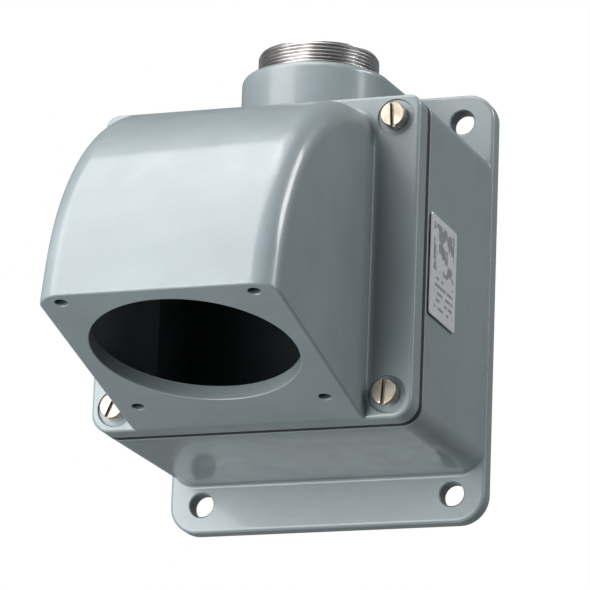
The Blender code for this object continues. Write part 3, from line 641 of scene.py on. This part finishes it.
def build_adapter(paint):
    front, back = FLANGE_FRONT_Y, FLANGE_BACK_Y
    rings = [rim_ring(back - FLANGE_BACK_EDGE_R + rise, inset)
             for inset, rise in quarter(FLANGE_BACK_EDGE_R, 5)][::-1]
    rings += [rim_ring(front + FLANGE_EDGE_R - rise, inset)
              for inset, rise in quarter(FLANGE_EDGE_R, 6)]
    flange = loft(bmesh.new(), rings)
    hood = hood_solid(0.0, 0.0, BODY_LOW_Z, front + HOOD_SINK, HOOD_EDGE_R, FACE_EDGE_R, 14)

    def root_ring(y, grow):
        """Section of the flared root of the hood, where it meets the flange."""
        top, low = HOOD_CENTRE_Z + HOOD_R + grow, BODY_LOW_Z + ROOT_LOW_INSET
        return rect_ring(y, HOOD_HALF_W + grow, (top - low) / 2, HOOD_EDGE_R + grow,
                         (top + low) / 2)

    rings = [root_ring(front + CLEAR, ROOT_FLARE)]
    rings += [root_ring(front - ROOT_FLARE * inset, ROOT_FLARE * (1 - rise))
              for inset, rise in quarter(1.0, 7)]
    rings.append(root_ring(front - ROOT_FLARE - ROOT_TUCK, -ROOT_TUCK_INSET))
    root = loft(bmesh.new(), rings)

    wide, deep = INLET_R + INLET_BREAK, TAP_PAD_T + CLEAR
    rim = [(INLET_R + INLET_BREAK - rise, -inset) for inset, rise in quarter(INLET_BREAK, 5)]
    opening = turned(bmesh.new(), [(0, CLEAR), (wide, CLEAR)] + rim + [(INLET_R, -deep), (0, -deep)],
                     128, face_matrix(0, 0))
    hollow = hood_solid(HOOD_WALL, FACE_T, PASSAGE_LOW_Z, back + HOLLOW_CLEAR,
                        HOOD_EDGE_R - HOOD_WALL, 0.0, 6)

    pads = bmesh.new()
    inside = HOOD_HALF_W - HOOD_WALL + TAP_PAD_SINK
    for x0, x1 in ((-inside, -inside + TAP_PAD_W), (inside - TAP_PAD_W, inside)):
        for s0, s1 in TAP_PAD_SPANS:
            block(pads, (x0, s0, -TAP_PAD_T), (x1, s1, -FACE_T / 2))
    bmesh.ops.transform(pads, matrix=face_matrix(0, 0), verts=pads.verts[:])

    taps = bmesh.new()
    mouth_r, deep = INLET_TAP_R + INLET_TAP_BREAK, TAP_PAD_T - TAP_FLOOR
    for sx in (-1, 1):
        for ss in (-1, 1):
            turned(taps, [(0, CLEAR), (mouth_r, CLEAR), (mouth_r, 0.0),
                          (INLET_TAP_R, -INLET_TAP_BREAK), (INLET_TAP_R, -deep), (0, -deep)], 40,
                   face_matrix(sx * INLET_DX / 2, ss * INLET_DS / 2))

    clearances, pockets = bmesh.new(), bmesh.new()
    dome = [(SPOT_R * math.cos(t), SPOT_WALL + SPOT_DOME * math.sin(t))
            for t in (math.radians(10 * i) for i in range(9))]
    outline = [(0, 0)] + [(SPOT_R + inset, rise) for inset, rise in SPOT_FLOOR_ROUND]
    outline += dome + [(0, SPOT_WALL + SPOT_DOME)]
    through = back - front + 2 * CLEAR
    for tag in SCREW_TAGS:
        x, z = screw_axis(tag)
        turned(clearances, [(0, 0), (CLEARANCE_R, 0), (CLEARANCE_R, through), (0, through)], 40,
               aim((x, back + CLEAR, z), (0, -1, 0)))
        turned(pockets, outline, 56, aim((x, front + SPOT_DEPTH, z), (0, -1, 0)))
    mesh = carved("adapter_casting", flange, [
        ("UNION", hood), ("UNION", root), ("DIFFERENCE", opening), ("DIFFERENCE", hollow),
        ("UNION", pads), ("DIFFERENCE", taps), ("DIFFERENCE", clearances),
        ("DIFFERENCE", pockets)])
    return piece("adapter_casting", mesh, paint, "adapter", "angle_adapter")


def build_gasket(rubber):
    low, high = node_box("box_gasket")
    middle, half_t = (low.y + high.y) / 2, (high.y - low.y) / 2
    rings = []
    for i in range(9):
        t = math.radians(-90 + 180 * i / 8)
        rings.append(rim_ring(middle - half_t * math.sin(t),
                              GASKET_SET_IN - GASKET_BULGE * math.cos(t)))
    sheet = loft(bmesh.new(), rings)
    top = HOOD_CENTRE_Z + HOOD_R - HOOD_WALL
    half_w = HOOD_HALF_W - HOOD_WALL + GASKET_OPENING_MARGIN_X
    half_h, mid = ((top - PASSAGE_LOW_Z) / 2 + GASKET_OPENING_MARGIN_Z, (top + PASSAGE_LOW_Z) / 2)
    holes = loft(bmesh.new(), [rect_ring(y, half_w, half_h, GASKET_OPENING_R, mid)
                               for y in (high.y + CLEAR, low.y - CLEAR)])
    for tag in SCREW_TAGS:
        x, z = screw_axis(tag)
        turned(holes, [(0, 0), (GASKET_HOLE_R, 0), (GASKET_HOLE_R, GASKET_HOLE_REACH),
                       (0, GASKET_HOLE_REACH)], 32, aim((x, high.y + CLEAR, z), (0, -1, 0)))
    mesh = carved("gasket_sheet", sheet, [("DIFFERENCE", holes)])
    return piece("gasket_sheet", mesh, rubber, "box", "box_gasket")


# ---------------------------------------------------------------- fasteners
def threaded(bm, radius, depth, pitch, z0, z1, bore_r=0.0, steps=72, rows=8, matrix=None):
    """Rod or tube with a helical V thread from z0 to z1, fading out at both ends. The thread is
    a height field round the axis, so it has no seam."""
    count = int((z1 - z0) / pitch * rows)
    heights = [z0 + (z1 - z0) * i / count for i in range(count + 1)]
    grid = []
    for z in heights:
        fade = min(1.0, (z - z0) / (0.8 * pitch), (z1 - z) / (0.8 * pitch))
        ring = []
        for j in range(steps):
            share = (z / pitch - j / steps) % 1.0
            groove = min(1.0, abs(2 * share - 1) * 1.25)
            end_break = depth * 0.9 * (1 - fade)
            r = radius - max(depth * (1 - groove), end_break)
            t = 2 * math.pi * j / steps
            ring.append(bm.verts.new((r * math.cos(t), r * math.sin(t), z)))
        grid.append(ring)
    if bore_r:
        bore = [[bm.verts.new((r * math.cos(2 * math.pi * j / steps),
                               r * math.sin(2 * math.pi * j / steps), z))
                 for j in range(steps)]
                for r, z in ((bore_r + 0.6, z1), (bore_r, z1 - 0.6), (bore_r, z0 + 0.6),
                             (bore_r + 0.6, z0))]
        grid = grid + bore
        grid.append(grid[0])
    for a, b in zip(grid, grid[1:]):
        for i in range(steps):
            j = (i + 1) % steps
            bm.faces.new((a[i], a[j], b[j], b[i]))
    if not bore_r:
        bm.faces.new(grid[0][::-1])
        bm.faces.new(grid[-1])
    if matrix is not None:
        bmesh.ops.transform(bm, matrix=matrix, verts=bm.verts[:])
    return bm


def head_profile(head_r, head_h, neck_r, round_r, under=0.25):
    """Cheese head about Z from its seat at 0, with a rounded top edge and a slight crown."""
    points = [(0, 0), (neck_r, 0), (head_r - under, 0), (head_r, under)]
    points += [(head_r - inset, head_h - round_r + rise) for inset, rise in quarter(round_r, 6)]
    return points + [(0, head_h + 0.12)]


def slotted_screw(name, mat, body, node, sizes, spin):
    """Slotted screw whose head faces -Y, standing where the frame's screw stands.
    `sizes` = shank radius, thread pitch, head radius, head height, slot width, slot depth; `spin`
    turns the slot, in degrees."""
    shank_r, pitch, head_r, head_h, slot_w, slot_d = sizes
    low, high = node_box(node)
    x, z = (low.x + high.x) / 2, (low.z + high.z) / 2
    seat = low.y + head_h
    head = turned(bmesh.new(), head_profile(head_r, head_h, shank_r, 0.55), 72)
    slot = block(bmesh.new(), (-slot_w / 2, -head_r - 1, head_h - slot_d),
                 (slot_w / 2, head_r + 1, head_h + 1))
    head_mesh = softened(carved(name, head, [("DIFFERENCE", slot)]), 0.12, 2)
    bm = bmesh.new()
    bm.from_mesh(head_mesh)
    bmesh.ops.scale(bm, vec=(1 / MM,) * 3, verts=bm.verts)
    threaded(bm, shank_r, pitch * 0.6, pitch, seat - high.y, 0.05, steps=40)
    turn = aim((x, seat, z), (0, -1, 0)) @ Matrix.Rotation(math.radians(spin), 4, "Z")
    bmesh.ops.transform(bm, matrix=turn, verts=bm.verts)
    return piece(name, bm_mesh(name, bm), mat, body, node)


def spring_washer(name, mat, body, node, bore_r, outer_r, gap_at):
    """Split lock washer: a square section swept nearly all the way round, its ends cut askew."""
    low, high = node_box(node)
    x, z = (low.x + high.x) / 2, (low.z + high.z) / 2
    thick = high.y - low.y
    middle, half = (bore_r + outer_r) / 2, (outer_r - bore_r) / 2
    corner = 0.18
    section = [(middle + sx * (half - corner) + corner * math.cos(t),
                thick / 2 + sy * (thick / 2 - corner) + corner * math.sin(t))
               for sx, sy, start in ((1, 1, 0), (-1, 1, 90), (-1, -1, 180), (1, -1, 270))
               for t in (math.radians(start + 45 * i) for i in range(3))]
    rings = []
    steps = 72
    for i in range(steps + 1):
        angle = 8 + 344 * i / steps
        ring = []
        for r, h in section:
            skew = (h / thick - 0.5) * 14.0
            t = math.radians(angle + skew)
            ring.append((r * math.cos(t), r * math.sin(t), h))
        rings.append(ring)
    bm = loft(bmesh.new(), rings)
    turn = aim((x, high.y, z), (0, -1, 0)) @ Matrix.Rotation(math.radians(gap_at), 4, "Z")
    bmesh.ops.transform(bm, matrix=turn, verts=bm.verts)
    return piece(name, bm_mesh(name, bm), mat, body, node)


def build_conduit_parts(steel, zinc, nylon, rubber):
    at_hub = Matrix.Translation((0, HUB_Y, 0))
    nipple_r = (NIPPLE_HIGH.x - NIPPLE_LOW.x) / 2
    bm = threaded(bmesh.new(), nipple_r, NIPPLE_THREAD_DEPTH, NIPPLE_PITCH, NIPPLE_LOW.z,
                  NIPPLE_HIGH.z, NIPPLE_BORE_R, 128, 8, at_hub)
    piece("nipple", bm_mesh("nipple", bm), steel, "box", "conduit_nipple", 50.0)

    low, high = node_box("hub_seal_ring")
    minor = (high.z - low.z) / 2
    centre_r, centre_z = (high.x - low.x) / 2 - minor, (low.z + high.z) / 2
    ring = [(centre_r + minor * math.cos(t), centre_z + minor * math.sin(t))
            for t in (math.radians(a) for a in range(0, 360, 24))]
    bm = turned(bmesh.new(), ring, 96, at_hub)
    piece("seal_ring", bm_mesh("seal_ring", bm), rubber, "box", "hub_seal_ring")

    low, high = node_box("hub_locknut")
    outer_r = (high.x - low.x) / 2
    outline = []
    for i in range(LOCKNUT_LUGS):
        for r, shares in ((outer_r, (0.0, 0.12, 0.25, 0.38, 0.5)),
                          (outer_r - LOCKNUT_LUG_DROP, (0.58, 0.67, 0.75, 0.84, 0.92))):
            for share in shares:
                t = 2 * math.pi * (i + share) / LOCKNUT_LUGS
                outline.append((r * math.cos(t), HUB_Y + r * math.sin(t)))
    nut = loft(bmesh.new(), [[(x, y, z) for x, y in outline] for z in (low.z, high.z)])
    bore = turned(bmesh.new(), [(0, low.z - 1), (LOCKNUT_MOUTH_R, low.z - 1),
                                (LOCKNUT_MOUTH_R, low.z),
                                (LOCKNUT_BORE_R, low.z + LOCKNUT_MOUTH_T),
                                (LOCKNUT_BORE_R, high.z + 1), (0, high.z + 1)], 96, at_hub)
    mesh = softened(carved("locknut", nut, [("DIFFERENCE", bore)]), LOCKNUT_EDGE_R)
    piece("locknut", mesh, zinc, "box", "hub_locknut")

    low, high = node_box("throat_bushing")
    outer_r = (high.x - low.x) / 2
    under, hold = NIPPLE_LOW.z - GAP, nipple_r + GAP
    lip = [(THROAT_R + inset, low.z + THROAT_LIP_R - rise)
           for inset, rise in quarter(THROAT_LIP_R, 5)]
    belly = [(outer_r - BUSHING_EDGE_R + rise, low.z + inset)
             for inset, rise in quarter(BUSHING_EDGE_R, 5)]
    profile = [(THROAT_R, under)] + lip + belly
    profile += [(outer_r, high.z - BUSHING_TOP_BREAK_H), (outer_r - BUSHING_TOP_BREAK_R, high.z),
                (hold, high.z), (hold, under)]
    bm = turned(bmesh.new(), profile, 160, at_hub)
    centre = Vector((0, HUB_Y, 0))
    for v in bm.verts:
        flat = Vector((v.co.x, v.co.y, 0)) - centre
        if flat.length > outer_r - 0.9 and low.z + 1.6 < v.co.z < high.z - 0.2:
            angle = math.atan2(flat.y, flat.x)
            wave = 0.5 + 0.5 * math.cos(BUSHING_FLUTES * angle)
            v.co -= flat.normalized() * BUSHING_FLUTE_T * wave
    piece("bushing", bm_mesh("bushing", bm), nylon, "box", "throat_bushing", 50.0)


def drill(radius, reach, steps, matrix):
    """Plain round cutter that starts at the matrix's origin."""
    return turned(bmesh.new(), [(0, 0), (radius, 0), (radius, reach), (0, reach)], steps, matrix)


def build_ground(tin, green, steel, brass):
    low, high = node_box("ground_lug")
    barrel_t, barrel_z = high.y - low.y, GROUND_Z + BARREL_UP
    strip = block(bmesh.new(), (low.x, high.y - LUG_STRIP_T, low.z), (high.x, high.y, high.z))
    barrel = block(bmesh.new(),
                   (low.x + BARREL_INSET, high.y - barrel_t, barrel_z - BARREL_H / 2),
                   (high.x - BARREL_INSET, high.y - LUG_STRIP_T / 2,
                    barrel_z + BARREL_H / 2 - BARREL_INSET))
    mesh = softened(carved("lug", strip, [("UNION", barrel)]), LUG_EDGE_R, 3)
    bm = bmesh.new()
    bm.from_mesh(mesh)
    bmesh.ops.scale(bm, vec=(1 / MM,) * 3, verts=bm.verts)
    bolt_hole = drill(BOLT_HOLE_R, BOLT_HOLE_REACH, 40,
                      aim((GROUND_X, high.y + CLEAR, GROUND_Z), (0, -1, 0)))
    wire_hole = drill(WIRE_HOLE_R, WIRE_HOLE_REACH, 48,
                      aim((GROUND_X, high.y - WIRE_HOLE_OUT, barrel_z - WIRE_HOLE_START),
                          (0, 0, 1)))
    clamp_hole = drill(CLAMP_HOLE_R, CLAMP_HOLE_REACH, 40,
                       aim((GROUND_X, high.y - barrel_t - CLEAR, barrel_z), (0, 1, 0)))
    mesh = carved("lug", bm, [("DIFFERENCE", bolt_hole), ("DIFFERENCE", wire_hole),
                              ("DIFFERENCE", clamp_hole)])
    piece("lug", mesh, tin, "box", "ground_lug")

    low, high = node_box("ground_washer")
    thick, outer_r = high.y - low.y, (high.x - low.x) / 2
    inner, edge = WASHER_BORE_R, WASHER_BREAK
    ring = [(inner, 0), (inner, thick), (outer_r - edge, thick), (outer_r, thick - edge),
            (outer_r, edge), (outer_r - edge, 0)]
    bm = turned(bmesh.new(), ring, 56, aim((GROUND_X, high.y, GROUND_Z), (0, -1, 0)))
    piece("flat_washer", bm_mesh("flat_washer", bm), steel, "box", "ground_washer")
    slotted_screw("bonding_screw", green, "box", "ground_screw", (2.5, 0.8, 4.6, 3.2, 1.3, 1.5), 35.0)
    slotted_screw("clamp_screw_piece", brass, "clamp_screw", "lug_clamp_screw",
                  (3.0, 1.0, 4.2, 3.0, 1.3, 1.4), -20.0)


def build_plate_label(foil):
    low, high = node_box("rating_plate")
    mid_y, mid_z = (low.y + high.y) / 2, (low.z + high.z) / 2
    rings = []
    for x, inset in ((low.x, 0.0), (high.x - 0.15, 0.0), (high.x - 0.05, 0.06), (high.x, 0.18)):
        outline = rounded_rect((high.y - low.y) / 2 - inset, (high.z - low.z) / 2 - inset,
                               LABEL_CORNER_R, 6)
        rings.append([(x, mid_y + a, mid_z + b) for a, b in outline])
    bm = loft(bmesh.new(), rings)
    return piece("label_plate", bm_mesh("label_plate", bm), foil, "box", "rating_plate")


# ---------------------------------------------------------------- places read from the frame
def screw_axis(tag):
    low, high = node_box("adapter_screw_" + tag)
    return (low.x + high.x) / 2, (low.z + high.z) / 2


SCREW_HALF_PITCH = screw_axis("tr")[0]
GROUND_X = sum(v.x for v in node_box("ground_washer")) / 2
GROUND_Z = sum(v.z for v in node_box("ground_washer")) / 2

paint = make_paint()
rubber = make_rubber()
# brass screws: brown tarnish and painted shade reach further into the slot and round the head's seat
brass = make_metal("nickel_brass", (0.45, 0.415, 0.355), (0.27, 0.225, 0.17), 0.36, "X",
                   grime_and_shade_colour=(0.06, 0.035, 0.02), grime_and_shade_reach=0.0024)
steel = make_metal("plain_steel", (0.60, 0.59, 0.59), (0.38, 0.37, 0.37), 0.32, "Z", relief=0.05)
zinc = make_metal("zinc_plate", (0.66, 0.67, 0.68), (0.46, 0.47, 0.48), 0.40, "X", 900.0)
tin = make_metal("tin_plate", (0.74, 0.74, 0.72), (0.58, 0.58, 0.56), 0.36, "Z", 1400.0)
nylon = make_nylon()
green = make_green()
foil = make_foil(*node_box("rating_plate"))

build_box(paint)
build_adapter(paint)
build_gasket(rubber)
SPINS = {"tl": 18.0, "tr": 3.0, "bl": -24.0, "br": -4.0}
for tag in SCREW_TAGS:
    slotted_screw("cheese_head_" + tag, brass, "screw_" + tag, "adapter_screw_" + tag,
                  (SCREW_R, 1.0, HEAD_R, HEAD_H, 1.6, 1.6), SPINS[tag])
    spring_washer("spring_washer_" + tag, steel, "washer_" + tag, "lock_washer_" + tag,
                  SCREW_R + 0.2, 4.9, SPINS[tag] + 70.0)
build_conduit_parts(steel, zinc, nylon, rubber)
build_ground(tin, green, steel, brass)
build_plate_label(foil)


# ---------------------------------------------------------------- camera, floor and light
def direction(azimuth, elevation):
    """Unit vector towards a viewer: azimuth 0 is in front (-Y), positive to the right."""
    a, e = math.radians(azimuth), math.radians(elevation)
    return Vector((math.sin(a) * math.cos(e), -math.cos(a) * math.cos(e), math.sin(e)))


CAMERA_AZIMUTH, CAMERA_ELEVATION, CAMERA_ROLL = 19.81, -15.95, -2.20
CAMERA_TARGET = Vector((0.0006, -0.0554, -0.0057))
CAMERA_DISTANCE, CAMERA_LENS, CAMERA_SENSOR = 1.899, 287.1, 36.0


def make_camera():
    data = bpy.data.cameras.new("camera")
    data.lens, data.sensor_width = CAMERA_LENS, CAMERA_SENSOR
    camera = bpy.data.objects.new("camera", data)
    bpy.context.scene.collection.objects.link(camera)
    back = direction(CAMERA_AZIMUTH, CAMERA_ELEVATION)
    turn = (-back).to_track_quat("-Z", "Y").to_matrix().to_4x4()
    roll = Matrix.Rotation(math.radians(-CAMERA_ROLL), 4, "Z")
    camera.matrix_world = Matrix.Translation(CAMERA_TARGET + back * CAMERA_DISTANCE) @ turn @ roll
    data.clip_start, data.clip_end = 0.1, 60.0
    bpy.context.scene.camera = camera


LIGHT_CENTRE = Vector((0.0, -0.08, 0.0))
WARM, COOL = (1.0, 0.972, 0.955), (0.92, 1.0, 0.985)
# name: azimuth, elevation, distance, width, height, tilt in degrees, power, colour
LIGHTS = {
    "front": (-25.0, -7.0, 1.2, 1.2, 1.0, 0.0, 22.5, WARM),
    "below": (-30.0, -35.0, 1.2, 1.0, 0.5, 0.0, 5.5, COOL),
    "left_high": (-38.0, 52.0, 1.2, 1.0, 1.7, 0.0, 22.0, WARM),
    "edge": (90.0, 18.0, 1.2, 0.20, 1.0, 0.0, 3.2, COOL),
    "crease": (101.5, 38.5, 1.2, 0.7, 0.24, 29.0, 6.2, WARM),
    "top": (0.0, 85.0, 1.2, 0.6, 0.6, 0.0, 2.0, WARM),
}


def make_lights():
    for name, values in LIGHTS.items():
        azimuth, elevation, distance, width, height, tilt, power, colour = values
        data = bpy.data.lights.new(name, "AREA")
        data.shape, data.size, data.size_y, data.energy = "RECTANGLE", width, height, power
        data.color = colour
        lamp = bpy.data.objects.new(name, data)
        bpy.context.scene.collection.objects.link(lamp)
        back = direction(azimuth, elevation)
        lamp.location = LIGHT_CENTRE + back * distance
        lamp.rotation_mode = "QUATERNION"
        lamp.rotation_quaternion = (back.to_track_quat("Z", "Y")
                                    @ Quaternion((0.0, 0.0, 1.0), math.radians(tilt)))
        lamp.visible_camera = False


WORLD_LIGHT = 0.2
FLOOR_HALF_W, FLOOR_Z = 12000.0, -3200.0
FLOOR_LIFT = 0.62   # added for the eye only, because the lamps stand too far off to make it pale


def make_surroundings():
    """White surroundings for the eye, dimmer ones for the light, and a pale floor far below."""
    world = bpy.data.worlds.new("surroundings")
    world.use_nodes = True
    tree = world.node_tree
    seen = tree.nodes["Background"]
    seen.inputs["Color"].default_value = (1.0, 1.0, 1.0, 1.0)
    lit = tree.nodes.new("ShaderNodeBackground")
    lit.inputs["Color"].default_value = (0.97, 0.99, 1.0, 1.0)
    lit.inputs["Strength"].default_value = WORLD_LIGHT
    path = tree.nodes.new("ShaderNodeLightPath")
    either = tree.nodes.new("ShaderNodeMixShader")
    tree.links.new(path.outputs["Is Camera Ray"], either.inputs[0])
    tree.links.new(lit.outputs[0], either.inputs[1])
    tree.links.new(seen.outputs[0], either.inputs[2])
    tree.links.new(either.outputs[0], tree.nodes["World Output"].inputs["Surface"])
    bpy.context.scene.world = world

    bm = bmesh.new()
    corners = ((-1, -1), (1, -1), (1, 1), (-1, 1))
    bm.faces.new([bm.verts.new((sx * FLOOR_HALF_W, sy * FLOOR_HALF_W, FLOOR_Z))
                  for sx, sy in corners])
    floor = raw_object("floor", bm)
    mat = new_material("pale_floor", (0.8, 0.8, 0.8), 0.0, 0.8)
    grain = noise(mat, object_coords(mat), 3.0, 3.0)
    link(mat, blend_colours(mat, grain, (0.78, 0.78, 0.78, 1), (0.84, 0.84, 0.84, 1)), "Base Color")
    shader_of(mat).inputs["Emission Color"].default_value = (1.0, 1.0, 1.0, 1.0)
    seen = add(mat, "ShaderNodeLightPath").outputs["Is Camera Ray"]
    link(mat, math_node(mat, "MULTIPLY", seen, FLOOR_LIFT), "Emission Strength")
    floor.data.materials.append(mat)


make_camera()
make_lights()
make_surroundings()
bpy.context.scene.view_settings.view_transform = "Standard"
bpy.context.scene.view_settings.look = "None"
